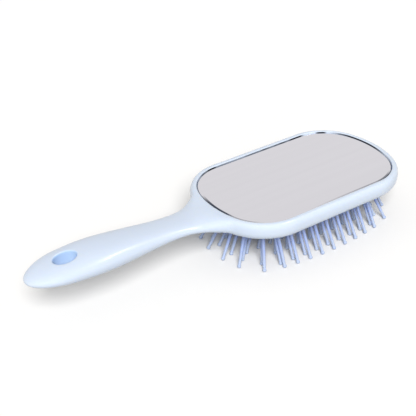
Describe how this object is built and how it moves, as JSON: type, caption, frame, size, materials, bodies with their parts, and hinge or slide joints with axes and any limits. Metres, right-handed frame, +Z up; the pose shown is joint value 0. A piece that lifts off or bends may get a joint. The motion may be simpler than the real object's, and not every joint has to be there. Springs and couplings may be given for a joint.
{
  "type": "styling brush with mirror",
  "caption": "Paddle styling brush lying on its splayed ball-tipped pins, with a flat mirror in the back of the rounded head, a sprung pin cushion below and an oval handle with a hang hole.",
  "frame": {"origin": "centre of the bounding box at the level of the pin tips, on the surface the brush lies on", "axes": "+X from the handle's tip to the far end of the head, +Z up out of the mirror, +Y across the head"},
  "size_m": [0.2373, 0.077, 0.0377],
  "materials": {
    "shell": "gloss",
    "mirror": "polished",
    "backing": "matt",
    "tape": "matt foam",
    "cushion": "matt",
    "pins": "gloss"
  },
  "bodies": {
    "brush": {"brush_body": "shell", "mirror": "mirror", "mirror_backing": "backing", "mirror_tape_handle_end": "tape", "mirror_tape_middle": "tape", "mirror_tape_far_end": "tape", "cushion_pad": "cushion"},
    "outer_zone": {"outer_pins_front": "pins", "outer_pins_back": "pins", "outer_pins_handle_front": "pins", "outer_pins_handle_back": "pins", "outer_pins_far_front": "pins", "outer_pins_far_back": "pins"},
    "second_zone": {"second_pins_front": "pins", "second_pins_back": "pins", "second_pins_handle_front": "pins", "second_pins_handle_back": "pins", "second_pins_far_front": "pins", "second_pins_far_back": "pins"},
    "third_zone": {"third_pins_front": "pins", "third_pins_back": "pins"},
    "centre_zone": {"inner_pins_front": "pins", "inner_pins_back": "pins", "centre_pins": "pins"}
  },
  "joints": [
    {"name": "cushion_press", "type": "slide", "parent": "brush", "child": "centre_zone", "axis": [0, 0, 1], "range_m": [0, 0.003], "stiffness_N_per_m": 1500, "deforming": ["cushion_pad"]},
    {"name": "third_press", "type": "slide", "parent": "brush", "child": "third_zone", "axis": [0, 0, 1], "range_m": [0, 0.00288], "stiffness_N_per_m": 900, "deforming": ["cushion_pad"]},
    {"name": "second_press", "type": "slide", "parent": "brush", "child": "second_zone", "axis": [0, 0, 1], "range_m": [0, 0.00264], "stiffness_N_per_m": 1200, "deforming": ["cushion_pad"]},
    {"name": "outer_press", "type": "slide", "parent": "brush", "child": "outer_zone", "axis": [0, 0, 1], "range_m": [0, 0.00234], "stiffness_N_per_m": 1500, "deforming": ["cushion_pad"]}
  ],
  "couplings": [
    {"joint": "third_press", "follows": "cushion_press", "ratio": 0.96},
    {"joint": "second_press", "follows": "cushion_press", "ratio": 0.88},
    {"joint": "outer_press", "follows": "cushion_press", "ratio": 0.78}
  ]
}
